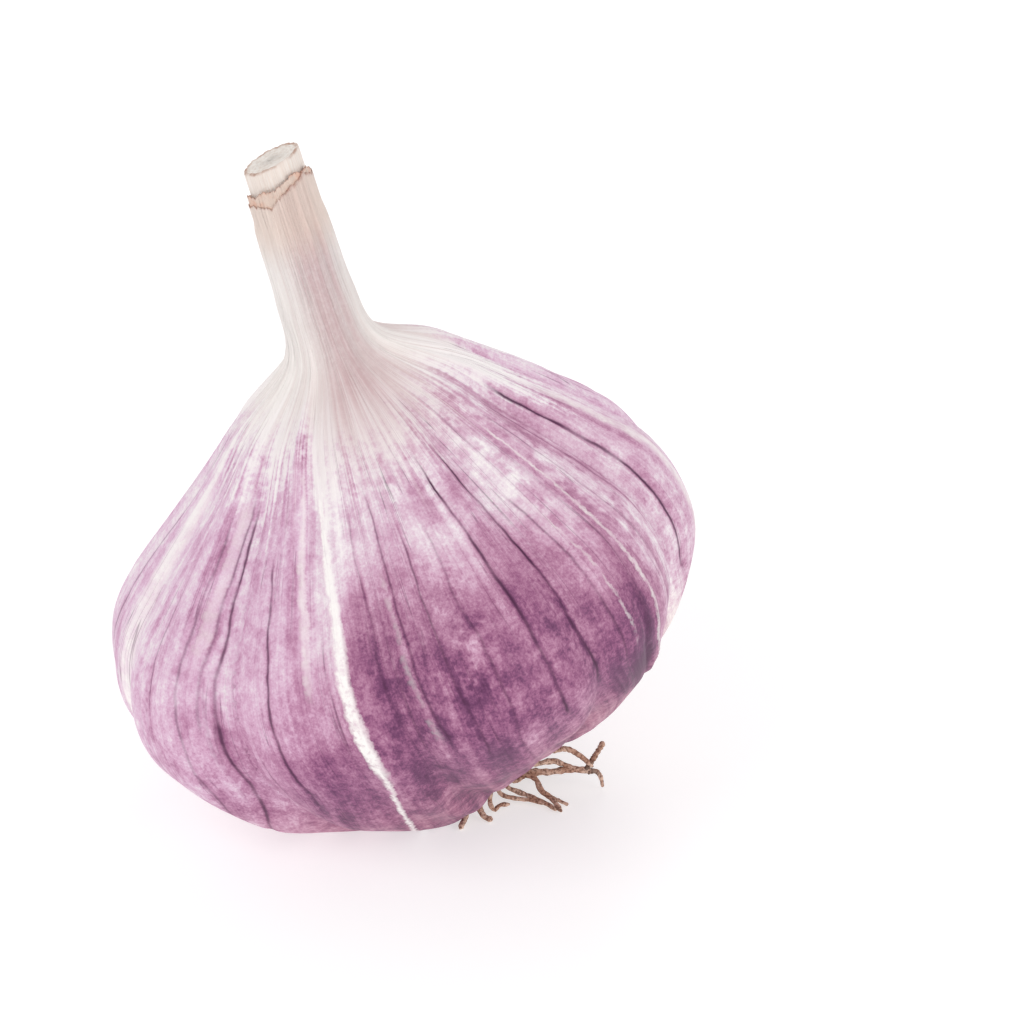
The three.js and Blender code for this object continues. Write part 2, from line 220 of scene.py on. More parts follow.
# lines that run down the skin
# Each is [degrees round at station 0.2, 0.45 and 0.7], half width, softness (degrees), from, to
# (stations), strength, and how far it stands out in mm.
skinLines = {
    "middle": 0.45,
    "step": 0.25,
    "fade": 0.035,
    "coreSharpness": 7.0,    # how much thinner a line's core is than its soft band
    "pale": [
        ((243, 243.6, 240.6), 0.5, 1.5, 0.34, 0.69, 1.0, 0.08),
        ((243, 243.6, 240.6), 0.05, 1.1, 0.06, 0.40, 0.9, 0.08),
        ((236, 235.2, 234.2), 0.1, 1.5, 0.46, 0.69, 0.5, 0.04),
        ((258, 257.6, 256.8), 0.0, 1.6, 0.36, 0.58, 0.15, 0.02),
        ((303, 301.2, 299.4), 0.0, 0.7, 0.36, 0.69, 0.3, 0.04),
        ((308.5, 310.4, 309.6), 0.05, 0.8, 0.18, 0.66, 0.5, 0.2),
        ((181, 179.2, 178.0), 0.9, 2.4, 0.30, 0.66, 0.75, 0.08),
        ((204, 207.3, 208.2), 0.3, 1.8, 0.5, 0.68, 0.3, 0.05),
        ((150, 151, 153), 0.6, 1.8, 0.15, 0.66, 0.6, 0.08),
        ((345, 347, 348), 0.8, 2.4, 0.12, 0.70, 0.6, 0.08),
        ((376, 375, 374), 0.5, 1.6, 0.1, 0.64, 0.6, 0.08),
        ((405, 407, 409), 0.9, 1.1, 0.08, 0.68, 0.9, 0.1),
        ((432, 431, 428), 0.4, 1.6, 0.2, 0.66, 0.5, 0.05),
        ((121, 119, 120), 0.8, 1.1, 0.1, 0.69, 0.8, 0.1),
    ],
    "dark": [
        ((211, 212.0, 210.6), 0.09, 1.3, 0.10, 0.68, 0.85, -0.12),
        ((208, 209.2, 209.6), 0.05, 1.1, 0.40, 0.69, 0.50, -0.04),
        ((204, 205.4, 205.0), 0.05, 1.1, 0.28, 0.66, 0.50, -0.04),
        ((226, 225.6, 224.6), 0.07, 1.2, 0.28, 0.62, 0.80, -0.10),
        ((197, 197.5, 195.6), 0.04, 1.1, 0.42, 0.6, 0.45, -0.04),
        ((252, 251.6, 250.4), 0.03, 1.1, 0.34, 0.66, 0.40, -0.03),
        ((259, 259.2, 258.2), 0.04, 1.1, 0.34, 0.68, 0.60, -0.04),
        ((265, 265.6, 265.0), 0.04, 1.1, 0.3, 0.62, 0.60, -0.05),
        ((272, 272.2, 271.4), 0.03, 1.1, 0.2, 0.62, 0.45, -0.03),
        ((283, 281.9, 280.9), 0.06, 1.4, 0.30, 0.69, 1.00, -0.10),
        ((291.5, 290.4, 289.2), 0.07, 1.4, 0.30, 0.69, 1.00, -0.12),
        ((298, 298.0, 296.0), 0.04, 1.1, 0.2, 0.6, 0.50, -0.04),
        # painted shade: this wide dark line, with the vein colour in its core, darkens the groove under the
        # skin's folded-over edge at overlapAt
        ((304, 307.2, 307.0), 0.30, 2.4, 0.22, 0.44, 0.6, -0.30),
        ((336, 336.6, 334.5), 0.09, 1.3, 0.3, 0.69, 0.95, -0.30),
        ((318, 318, 315), 0.04, 1.1, 0.3, 0.68, 0.45, -0.04),
        ((326, 327, 324), 0.04, 1.1, 0.4, 0.7, 0.45, -0.04),
        ((168, 169, 171), 0.05, 1.1, 0.2, 0.68, 0.55, -0.05),
        ((358, 358, 356), 0.07, 1.3, 0.15, 0.7, 0.85, -0.12),
        ((391, 392, 393), 0.05, 1.1, 0.14, 0.66, 0.60, -0.06),
        ((401, 402, 404), 0.08, 1.3, 0.12, 0.7, 0.90, -0.13),
        ((420, 419, 417), 0.05, 1.1, 0.16, 0.68, 0.60, -0.06),
        ((436, 436, 438), 0.08, 1.3, 0.14, 0.68, 0.90, -0.12),
        ((108, 109, 110), 0.08, 1.3, 0.14, 0.69, 0.85, -0.12),
        ((134, 133, 131), 0.05, 1.1, 0.14, 0.66, 0.60, -0.06),
    ],
}


# the three numbers of the curve that a line follows, in steps from the middle station
def lineCurve(degrees):
    low, middle, top = degrees
    slant = (top - low) / (2 * skinLines["step"])
    return middle, slant, (top + low - 2 * middle) / (2 * skinLines["step"] ** 2)


def lineShape(angle, station, line):
    degrees, half, soft, least, most, strength, height = line
    c0, c1, c2 = lineCurve(degrees)
    t = station - skinLines["middle"]
    off = np.abs(turnBetween(angle, c0 + t * (c1 + t * c2)))
    fade = skinLines["fade"]
    reach = smooth(station, least - fade, least + fade) * (1 - smooth(station, most - fade, most + fade))
    return height * reach * np.exp(-((off / (half + soft * 0.6)) ** 2))


# Where the foot's lines run apart from the bulb's axis, the markings turn with them.
markings = {"foot": 0.34, "soft": 0.06, "rate": 165, "facing": 265}


def markingAngle(angle, station):
    below = np.clip(markings["foot"] - station, 0, markings["foot"])
    spread = markings["rate"] * below**2 / (below + markings["soft"])
    return angle - spread * np.sin(np.radians(angle - markings["facing"]))


# piece 1: the skin over the cloves, gathered up the neck
skinDetail = {
    "seed": 11,
    "pleats": 70,            # fine folds round the shoulder and neck
    "pleatHeight": (0.04, 0.13),
    "pleatWidth": (1.0, 2.6),
    "wrinkles": 46,          # short folds on the cloves
    "wrinkleHeight": (-0.09, 0.07),
    "wrinkleWidth": (0.9, 2.2),
    "overlapAt": (306.6, 2.5),  # the skin's outer edge folds over here
    "overlapHeight": 0.35,
    "within": 0.11,          # mm that the smooth skin lies inside the faceted one
}
# the torn edges of the two sheaths round the stalk: each rises and falls in waves
lips = {
    "outerTop": 47.3,
    "outerEdge": [(1, 1.29, -27), (2, 0.24, 54), (3, 0.55, -57), (7, 0.14, 9), (13, 0.08, 7)],
    "outerJags": [(23, 0.06, 31), (37, 0.05, 12), (61, 0.04, 3), (90, 0.03, 50)],
    "innerRadius": 3.2,
    "innerTop": 48.05,
    "innerEdge": [(1, 0.82, -55), (2, 0.29, -79), (3, 0.24, -43), (7, 0.12, 30), (11, 0.08, 2)],
    "innerJags": [(27, 0.05, 9), (41, 0.05, 33), (66, 0.035, 8), (97, 0.03, 1)],
    "thickness": 0.1,
    "rings": 22,             # between the outline's end and the outer edge
}


def fineRelief(angle, station):
    chance = np.random.default_rng(skinDetail["seed"])
    relief = np.zeros_like(angle)
    for i in range(skinDetail["pleats"]):
        at = 360 * (i + chance.uniform(-0.4, 0.4)) / skinDetail["pleats"]
        width = chance.uniform(*skinDetail["pleatWidth"])
        height = chance.uniform(*skinDetail["pleatHeight"])
        start = chance.uniform(0.5, 0.7)
        stop = chance.uniform(0.8, 1.05)
        lean = chance.uniform(-25, 25)
        off = turnBetween(angle, at + lean * (station - 0.75))
        widened = width * (1 + 2.2 * smooth(station, 0.7, 0.82))
        reach = smooth(station, start - 0.12, start + 0.1) * (1 - smooth(station, stop, stop + 0.08))
        relief += height * reach * np.exp(-((off / widened) ** 2))
    for i in range(skinDetail["wrinkles"]):
        at = chance.uniform(0, 360)
        middle = chance.uniform(0.15, 0.62)
        long = chance.uniform(0.06, 0.2)
        width = chance.uniform(*skinDetail["wrinkleWidth"])
        height = chance.uniform(*skinDetail["wrinkleHeight"])
        lean = chance.uniform(-16, 16)
        off = turnBetween(angle, at + lean * (station - middle))
        relief += height * np.exp(-((off / width) ** 2) - ((station - middle) / long) ** 2)
    return relief


def makeSkin(material):
    even, along = curveThrough(bulb["outline"], bulb["rings"])
    stations = np.linspace(0, bulb["outlineEnd"], bulb["rings"])
    hollowRadius, hollowHeight = bulb["hollow"]
    ceiling = ((0, -0.08), (0.5, -0.06), (1, -0.03))
    profile = [(hollowRadius * share, hollowHeight, at) for share, at in ceiling]
    profile += [(r, h, s) for (r, h), s in zip(even, stations)]
    radius, endHeight = even[-1]
    within, outerTop, innerTop = lips["innerRadius"], lips["outerTop"], lips["innerTop"]
    # up to the outer edge, over it, down behind it, up the inner sheath and over its edge
    for k in range(1, lips["rings"] + 1):
        share = k / lips["rings"]
        height = endHeight + (outerTop - 0.06 - endHeight) * share
        profile.append((radius, height, bulb["outlineEnd"] + (1 - bulb["outlineEnd"]) * share))
    profile += [
        (radius - 0.02, outerTop - 0.01, 1.004),
        (radius - 0.06, outerTop, 1.008),
        (radius - lips["thickness"], outerTop - 0.04, 1.012),
        (radius - lips["thickness"], outerTop - 0.3, 1.016),
        (within + 0.01, outerTop - 0.32, 1.02),
    ]
    for k in range(1, 7):
        profile.append((within, outerTop - 0.32 + (innerTop - outerTop + 0.27) * k / 6, 1.02 + 0.02 * k / 6))
    socketRadius, socketFloor = bulb["socket"]
    profile += [
        (within - 0.02, innerTop - 0.01, 1.043),
        (within - 0.06, innerTop, 1.046),
        (socketRadius, innerTop - 0.05, 1.05),
        (socketRadius, 46, 1.06),
        (socketRadius, 44, 1.07),
        (socketRadius, 38, 1.09),
        (socketRadius, socketFloor, 1.12),
        (0, socketFloor, 1.14),
    ]
    mesh = spun("bulbSkin", profile, bulb["segments"])
    points = meshPoints(mesh)
    station = stationsOf(mesh)
    angle = np.degrees(np.arctan2(points[:, 1], points[:, 0])) % 360
    radius = np.hypot(points[:, 0], points[:, 1])
    height = points[:, 2].copy()
    marked = markingAngle(angle, station)

    onSkin = (station >= 0) & (station <= 1.001)
    slope = np.stack([np.interp(station, stations, along[:, k]) for k in (0, 1)], 1)
    relief = cloveRelief(angle, radius, height) + fineRelief(marked, station)
    for line in skinLines["pale"] + skinLines["dark"]:
        relief += lineShape(marked, station, line)
    at, width = skinDetail["overlapAt"]
    off = turnBetween(marked, at)
    over = np.where(off > 0, np.exp(-off / width), np.exp(-((off / 0.7) ** 2)))
    relief += skinDetail["overlapHeight"] * over * smooth(station, 0.1, 0.2) * (1 - smooth(station, 0.6, 0.7))
    relief -= skinDetail["within"] * smooth(radius, 10, 17)
    relief *= smooth(station, -0.01, 0.03) * np.where(onSkin, 1, 0)
    relief *= 1 - smooth(station, 0.965, 0.995)
    radius = radius + relief * slope[:, 1]
    height = height - relief * slope[:, 0]

    # the torn edges: what is near them moves up and down with their waves
    outer = waves(lips["outerEdge"] + lips["outerJags"], angle)
    inner = waves(lips["innerEdge"] + lips["innerJags"], angle)
    toOuter = np.clip((height - endHeight) / (outerTop - endHeight), 0, 1) * (station < 1.0201)
    toInner = np.clip((station - 1.02) / 0.02, 0, 1) * (station < 1.0501)
    height = height + inner * toInner
    height = height + outer * np.where(station > 1.02, 1 - toInner, toOuter) * (station < 1.0501)

    points = placed(radius, angle, height)
    points[:, 2] = np.maximum(points[:, 2], 0)
    setPoints(mesh, points * mm)
    addPlaces(mesh, marked, station)
    return finished(mesh, material, "bulb")


# piece 2: the cut flower stalk
stalk = {
    "radius": 2.8,
    "floor": 31.3,
    "top": 50.33,
    "slope": 0.21,
    "lowSide": 155,
    "segments": 120,
    "sideRings": 30,
    "faceRings": 16,
    "ribs": [(19, 0.012, 12), (31, 0.01, 3), (47, 0.006, 20)],
    "rimJags": [(9, 0.03, 10), (21, 0.03, 40), (44, 0.02, 5)],
}


def makeStalk(material):
    radius, top, floor = stalk["radius"], stalk["top"], stalk["floor"]
    profile = [(0, floor, 0), (radius, floor, 0.02)]
    for i in range(stalk["sideRings"]):
        share = (i + 1) / stalk["sideRings"]
        profile.append((radius, floor + (top - 0.22 - floor) * share, 0.02 + 0.68 * share))
    profile += [(radius - 0.03, top - 0.1, 0.71), (radius - 0.1, top - 0.02, 0.72), (radius - 0.2, top, 0.73)]
    for i in range(stalk["faceRings"]):
        share = (i + 1) / stalk["faceRings"]
        r = (radius - 0.2) * (1 - share)
        dip = 0.12 * math.sin(min(1, share * 2.2) * math.pi / 2) + 0.05 * math.sin(share * 14)
        profile.append((r, top - dip, 0.73 + 0.27 * share))
    mesh = spun("scapeStub", profile, stalk["segments"])
    points = meshPoints(mesh)
    station = stationsOf(mesh)
    angle = np.degrees(np.arctan2(points[:, 1], points[:, 0])) % 360
    r = np.hypot(points[:, 0], points[:, 1])
    height = points[:, 2].copy()
    upper = smooth(height, 40, top - 1)
    side = smooth(station, 0.02, 0.1) * (1 - smooth(station, 0.71, 0.74))
    r = r + waves(stalk["ribs"], angle) * side
    nearRim = smooth(station, 0.6, 0.7) * (1 - smooth(station, 0.73, 0.8))
    height = height + waves(stalk["rimJags"], angle) * nearRim
    height -= stalk["slope"] * r * np.cos(np.radians(angle - stalk["lowSide"])) * upper
    setPoints(mesh, placed(r, angle, height) * mm)
    addPlaces(mesh, angle, station)
    return finished(mesh, material, "scape")


# piece 3: the dried roots and the plate that bears them
roots = {
    "plate": [(1.5, -15.7), (4.2, -15.2), (5.9, -14.2), (5.9, -13.2)],
    "depth": -14.3,
    # The strands in front: [radius, angle] on the plate, or none where one grows out of another;
    # the radius at both ends; and the points that it passes
    "strands": [
        ((4.5, 300), (0.34, 0.24), [(15, 2.7, 5.4), (17.5, 3.8, 4.8), (19, 4.2, 3.6), (20.1, 4.3, 2.4)]),
        (None, (0.28, 0.26), [(19.4, 4.2, 2.1), (20.1, 4.5, 3.2), (20.8, 4.4, 4.6), (21.1, 4.3, 5.3)]),
        ((3, 290), (0.42, 0.32), [(13.2, 3.2, 2.9), (15.5, 3.5, 2.3), (18.1, 4.2, 2.2), (20.2, 4.1, 2)]),
        (None, (0.3, 0.16), [(19.6, 4.1, 2), (20.5, 4.2, 1.9), (20.9, 4.1, 1.3), (21.1, 3.9, 0.3)]),
        ((4, 310), (0.32, 0.24), [(13.7, 2.9, 3.8), (16.3, 4.1, 3.2), (18.1, 4.1, 2.4), (19.8, 4.2, 2)]),
        ((2.5, 280), (0.28, 0.22), [(12.2, 2.6, 1.8), (13.8, 3.5, 2.2), (15.3, 3.7, 2.3)]),
        (
            (3, 285), (0.36, 0.26),
            [(13, 3.2, 2.6), (14.4, 2.7, 2), (15, 1.7, 1.2), (15.9, 1.1, 0.8), (16.9, -0.6, 0.3)],
        ),
        (None, (0.22, 0.16), [(15.3, 1.5, 1.1), (16.2, 1.2, 0.7), (17, 0.8, 0.5), (17.6, 0.6, 0.3)]),
        (
            (2.5, 265), (0.28, 0.22),
            [(11.4, 1.9, 1.8), (12.6, 1.8, 1.1), (14.2, 1.3, 0.7), (15.7, 0.4, 0.4), (16.4, -0.4, 0.3)],
        ),
        ((2, 250), (0.26, 0.2), [(10.8, 1.2, 1.4), (12.1, 1.1, 0.8), (13.9, 1, 0.6), (15.3, 0.6, 0.4)]),
        (
            (3, 245), (0.28, 0.2),
            [(9.9, 0.4, 2.2), (9.9, -0.6, 1.1), (10.3, -0.7, 0.5), (10.8, -0.1, 0.7), (11.8, 0.4, 0.5)],
        ),
        ((4, 240), (0.32, 0.3), [(9.4, 0.4, 3), (8.8, -1.1, 1.3), (9.2, -1.8, 0.6), (10.1, -2.2, 0.3)]),
        ((4.5, 230), (0.3, 0.28), [(8.9, 0.6, 3.4), (8, -0.7, 1.7), (7.4, -2.2, 0.6), (6.9, -3.7, 0.3)]),
    ],
    # the others are drawn by chance
    "count": 16,
    "stumps": 12,
    "seed": 10,
    "fan": (50, 205),
    "dip": -0.35,
    "wander": (-0.35, 0.35),
    "bends": 5,
    "length": (4, 7),
    "stumpLength": (2.5, 4.5),
    "thick": (0.28, 0.42),
    "tip": 0.2,
    "sides": 10,
    "steps": 30,
    "knobs": [(7, 0.12, 20), (12, 0.1, 5), (19, 0.07, 11)],
}


# the same seeded row of numbers as the source draws from
class SeededRow:
    def __init__(self, seed):
        self.state = seed & 0xFFFFFFFF

    def draw(self, limits):
        self.state = (self.state + 0x6D2B79F5) & 0xFFFFFFFF
        t = self.state
        t = ((t ^ (t >> 15)) * (t | 1)) & 0xFFFFFFFF
        t ^= (t + (((t ^ (t >> 7)) * (t | 61)) & 0xFFFFFFFF)) & 0xFFFFFFFF
        share = ((t ^ (t >> 14)) & 0xFFFFFFFF) / 4294967296
        return limits[0] + (limits[1] - limits[0]) * share


def placedPoint(radius, angle, height):
    return Vector(placed(np.array([radius]), np.array([angle]), np.array([height]))[0])


def rootPath(row, start, setOff, heading, length):
    ahead = Vector((math.cos(math.radians(heading)), math.sin(math.radians(heading)), roots["dip"]))
    path = [start.copy()]
    for i in range(1, roots["bends"] + 1):
        way = setOff.lerp(ahead, min(1, i / 3))
        for k in range(3):
            way[k] += row.draw(roots["wander"])
        onward = path[-1] + way.normalized() * (length / roots["bends"])
        onward.z = max(onward.z, roots["tip"])
        path.append(onward)
    return path


# every root's path and its radius at both ends
def rootPaths():
    found = []
    for place, thick, points in roots["strands"]:
        path = [Vector(point) for point in points]
        if place:
            path.insert(0, placedPoint(*place, roots["depth"]))
        found.append((path, thick))
    row = SeededRow(roots["seed"])
    down = (leaning.to_3x3() @ Vector((0, 0, -1))).normalized()
    for i in range(roots["count"]):
        fan = roots["fan"]
        heading = fan[0] + (fan[1] - fan[0]) * (i + row.draw((0, 1))) / roots["count"]
        radius = row.draw((1.5, 5))
        start = placedPoint(radius, heading - bulb["turn"] + row.draw((-50, 50)), roots["depth"])
        length = row.draw(roots["length"])
        path = rootPath(row, start, down, heading, length)
        thick = row.draw(roots["thick"])
        found.append((path, (thick, roots["tip"])))
        if i % 2 == 0:
            way = (path[3] - path[2]).normalized()
            aside = row.draw((30, 60))
            aside *= 1 if row.draw((-1, 1)) > 0 else -1
            shoot = rootPath(row, path[2], way, heading + aside, length / 2)
            found.append((shoot, (thick * 0.7, roots["tip"])))
    for i in range(roots["stumps"]):
        around = 360 * (i + row.draw((0, 0.6))) / roots["stumps"]
        start = placedPoint(row.draw((1, 5)), around, roots["depth"])
        path = rootPath(row, start, down, around + bulb["turn"], row.draw(roots["stumpLength"]))
        found.append((path, (row.draw(roots["thick"]), roots["tip"])))
    return found


# one root: a grid rolled into a tube along the path, wrinkled and thinner to its tip
def addRoot(shape, layer, path, thick, chance):
    steps, sides = roots["steps"], roots["sides"]
    even, along = curveThrough([tuple(point) for point in path], steps + 1, loose=True)
    across = Vector((0, 0, 1)) if abs(along[0][2]) < 0.9 else Vector((1, 0, 0))
    frames = []
    for direction in along:
        ahead = Vector(direction)
        across = (across - ahead * across.dot(ahead)).normalized()
        frames.append((across.copy(), ahead.cross(across)))
    girth = 1 + chance.uniform(-0.14, 0.14, steps + 1)
    dents = 1 + chance.uniform(-0.13, 0.13, (steps + 1, sides))
    girth[-1] *= 0.5
    for vert in bmesh.ops.create_grid(shape, x_segments=sides, y_segments=steps, size=1)["verts"]:
        k = round((vert.co.x + 1) / 2 * sides) % sides
        i = round((vert.co.y + 1) / 2 * steps)
        radius = (thick[0] + (thick[1] - thick[0]) * i / steps) * girth[i] * dents[i][k]
        turn = math.tau * k / sides
        first, second = frames[i]
        vert.co = Vector(even[i]) + first * (radius * math.cos(turn)) + second * (radius * math.sin(turn))
        vert.co.z = max(vert.co.z, 0)
        vert[layer] = i / steps


def makeRoots(material):
    plate = [(0, roots["plate"][0][1], 0)]
    for (r0, h0), (r1, h1) in zip(roots["plate"], roots["plate"][1:]):
        plate += [(r0 + (r1 - r0) * k / 5, h0 + (h1 - h0) * k / 5, 0) for k in range(5)]
    plate += [(*roots["plate"][-1], 0), (0, roots["plate"][-1][1], 0)]
    mesh = spun("rootCrown", plate, 64)
    points = meshPoints(mesh)
    angle = np.degrees(np.arctan2(points[:, 1], points[:, 0])) % 360
    radius = np.hypot(points[:, 0], points[:, 1])
    knobs = waves(roots["knobs"], angle) * smooth(radius, 1, 4) * (1 - smooth(radius, 5.6, 5.9))
    points = placed(radius, angle, points[:, 2] - knobs)
    points[:, 2] = np.maximum(points[:, 2], 0)
    setPoints(mesh, points)
    shape = bmesh.new()
    shape.from_mesh(mesh)
    layer = shape.verts.layers.float["station"]
    chance = np.random.default_rng(roots["seed"])
    for path, thick in rootPaths():
        addRoot(shape, layer, path, thick, chance)
    bmesh.ops.remove_doubles(shape, verts=shape.verts, dist=1e-5)
    bmesh.ops.holes_fill(shape, edges=shape.edges, sides=0)
    bmesh.ops.recalc_face_normals(shape, faces=shape.faces)
    bmesh.ops.scale(shape, vec=(mm, mm, mm), verts=shape.verts)
    for face in shape.faces:
        face.smooth = True
    shape.to_mesh(mesh)
    shape.free()
    return finished(mesh, material, "root_crown")


# materials
# A material and the few node helpers that build it.
class Finish:
    def __init__(self, name):
        self.material = bpy.data.materials.new(name)
        self.material.use_nodes = True
        self.tree = self.material.node_tree
        self.tree.nodes.clear()
        self.shader = self.add("ShaderNodeBsdfPrincipled")
        out = self.add("ShaderNodeOutputMaterial")
        self.tree.links.new(self.shader.outputs[0], out.inputs[0])

    def add(self, kind, **settings):
        node = self.tree.nodes.new(kind)
        for name, value in settings.items():
            setattr(node, name, value)
        return node

    def feed(self, socket, value):
        if isinstance(value, bpy.types.NodeSocket):
            self.tree.links.new(value, socket)
        else:
            socket.default_value = value

    def maths(self, operation, *values, clamp=False):
        node = self.add("ShaderNodeMath", operation=operation, use_clamp=clamp)
        for socket, value in zip(node.inputs, values):
            self.feed(socket, value)
        return node.outputs[0]

    # from 0 at low to 1 at high, or the other way round where low is the higher
    def between(self, value, low, high, least=0.0, most=1.0):
        if not isinstance(low, bpy.types.NodeSocket) and low > high:
            low, high, least, most = high, low, most, least
        node = self.add("ShaderNodeMapRange", interpolation_type="SMOOTHSTEP")
        for socket, number in zip(node.inputs, (value, low, high, least, most)):
            self.feed(socket, number)
        return node.outputs[0]

    def mix(self, share, first, second, blend="MIX"):
        node = self.add("ShaderNodeMix", data_type="RGBA", blend_type=blend)
        for index, value in ((0, share), (6, first), (7, second)):
            self.feed(node.inputs[index], value)
        return node.outputs[2]

    def ramp(self, value, stops, smoothly=True):
        node = self.add("ShaderNodeValToRGB")
        node.color_ramp.interpolation = "EASE" if smoothly else "LINEAR"
        elements = node.color_ramp.elements
        while len(elements) > 1:
            elements.remove(elements[-1])
        for i, (at, tone) in enumerate(stops):
            element = elements[0] if i == 0 else elements.new(at)
            element.position = at
            element.color = tone if isinstance(tone, tuple) else (tone, tone, tone, 1)
        self.feed(node.inputs[0], value)
        return node.outputs[0]

    def noise(self, vector, scale, detail=3.0, roughness=0.55):
        node = self.add("ShaderNodeTexNoise")
        self.feed(node.inputs["Vector"], vector)
        for name, value in zip(("Scale", "Detail", "Roughness"), (scale, detail, roughness)):
            node.inputs[name].default_value = value
        return node.outputs[0]

    def stretched(self, vector, factors):
        node = self.add("ShaderNodeVectorMath", operation="MULTIPLY")
        self.feed(node.inputs[0], vector)
        node.inputs[1].default_value = factors
        return node.outputs[0]

    def attribute(self, name, output="Vector"):
        return self.add("ShaderNodeAttribute", attribute_name=name).outputs[output]

    def places(self):
        inObject = self.add("ShaderNodeTexCoord").outputs["Object"]
        parts = self.add("ShaderNodeSeparateXYZ")
        self.feed(parts.inputs[0], self.add("ShaderNodeUVMap", uv_map="round").outputs[0])
        return inObject, self.attribute("wrap"), parts.outputs[0], parts.outputs[1]

    def bump(self, *layers):
        normal = None
        for height, distance in layers:
            node = self.add("ShaderNodeBump")
            node.inputs["Distance"].default_value = distance
            self.feed(node.inputs["Height"], height)
            if normal is not None:
                self.feed(node.inputs["Normal"], normal)
            normal = node.outputs[0]
        self.feed(self.shader.inputs["Normal"], normal)


def shade(hexCode):
    parts = [int(hexCode[i : i + 2], 16) / 255 for i in (0, 2, 4)]
    return tuple(p / 12.92 if p <= 0.04045 else ((p + 0.055) / 1.055) ** 2.4 for p in parts) + (1.0,)


# a node group that gives 1 on a line down the skin and 0 beside it
def lineGroup():
    group = bpy.data.node_groups.new("skinLine", "ShaderNodeTree")
    names = ("Around", "Step", "Middle", "Slant", "Curve", "Half", "Edge", "From", "To")
    for name in names:
        group.interface.new_socket(name, in_out="INPUT", socket_type="NodeSocketFloat")
    group.interface.new_socket("Line", in_out="OUTPUT", socket_type="NodeSocketFloat")
    inside = group.nodes.new("NodeGroupInput")
    outside = group.nodes.new("NodeGroupOutput")

    def maths(operation, *values):
        node = group.nodes.new("ShaderNodeMath")
        node.operation = operation
        for socket, value in zip(node.inputs, values):
            if isinstance(value, bpy.types.NodeSocket):
                group.links.new(value, socket)
            else:
                socket.default_value = value
        return node.outputs[0]

    def fade(value, low, high):
        node = group.nodes.new("ShaderNodeMapRange")
        node.interpolation_type = "SMOOTHSTEP"
        for socket, number in zip(node.inputs, (value, low, high)):
            group.links.new(number, socket)
        return node.outputs[0]

    around, step, middle, slant, curve, half, edge, least, most = (inside.outputs[name] for name in names)
    centre = maths("MULTIPLY_ADD", step, maths("MULTIPLY_ADD", step, curve, slant), middle)
    off = maths("ABSOLUTE", maths("SUBTRACT", around, centre))
    beside = fade(off, half, edge)
    starts = fade(step, maths("SUBTRACT", least, skinLines["fade"]), maths("ADD", least, skinLines["fade"]))
    ends = fade(step, maths("SUBTRACT", most, skinLines["fade"]), maths("ADD", most, skinLines["fade"]))
    reach = maths("MULTIPLY", starts, maths("SUBTRACT", 1.0, ends))
    line = maths("MULTIPLY", maths("SUBTRACT", 1.0, beside), reach)
    group.links.new(line, outside.inputs["Line"])
    return group


# the greatest of all the lines of one list, as soft bands and as their thin cores
def lineMask(finish, group, lines, around, step):
    mask, core = 0.0, 0.0
    for degrees, half, soft, least, most, strength, _ in lines:
        node = finish.add("ShaderNodeGroup", node_tree=group)
        middle = skinLines["middle"]
        numbers = (around, step, *lineCurve(degrees), half, half + soft, least - middle, most - middle)
        for socket, value in zip(node.inputs, numbers):
            finish.feed(socket, value)
        mask = finish.maths("MAXIMUM", mask, finish.maths("MULTIPLY", node.outputs[0], strength))
        thin = finish.maths("POWER", node.outputs[0], skinLines["coreSharpness"])
        core = finish.maths("MAXIMUM", core, finish.maths("MULTIPLY", thin, strength))
    return mask, core


skinColours = {
    "cream": "fbf6f4",
    "neck": "f7f1ed",
    "neckMauve": "cdafb1",
    "neckTop": "e9d2c4",
    "torn": "e8bda8",
    "tornEdge": "a8705c",
    # the colour of the veins, also painted as shade in the groove under the folded-over edge
    "veinAndCreaseShade": "4a1840",
    # what the purple is multiplied by: on the right, on the left and at the foot
    "right": (0.985, 1, 0.965, 1),
    "left": (1.04, 1.0, 1.06, 1),
    "rosy": (1.0, 0.93, 0.86, 1),
    # from the white of the shoulder to the deepest purple
    "depthScale": 0.85,
    "purples": [
        (0.0, "f6efef"), (0.13, "eadae3"), (0.26, "dfc0d4"), (0.39, "d0a3bf"), (0.51, "bb85a5"),
        (0.64, "a4698d"), (0.73, "90537c"), (0.80, "7d456e"), (0.88, "6d3762"), (1.0, "5a2851"),
    ],
}
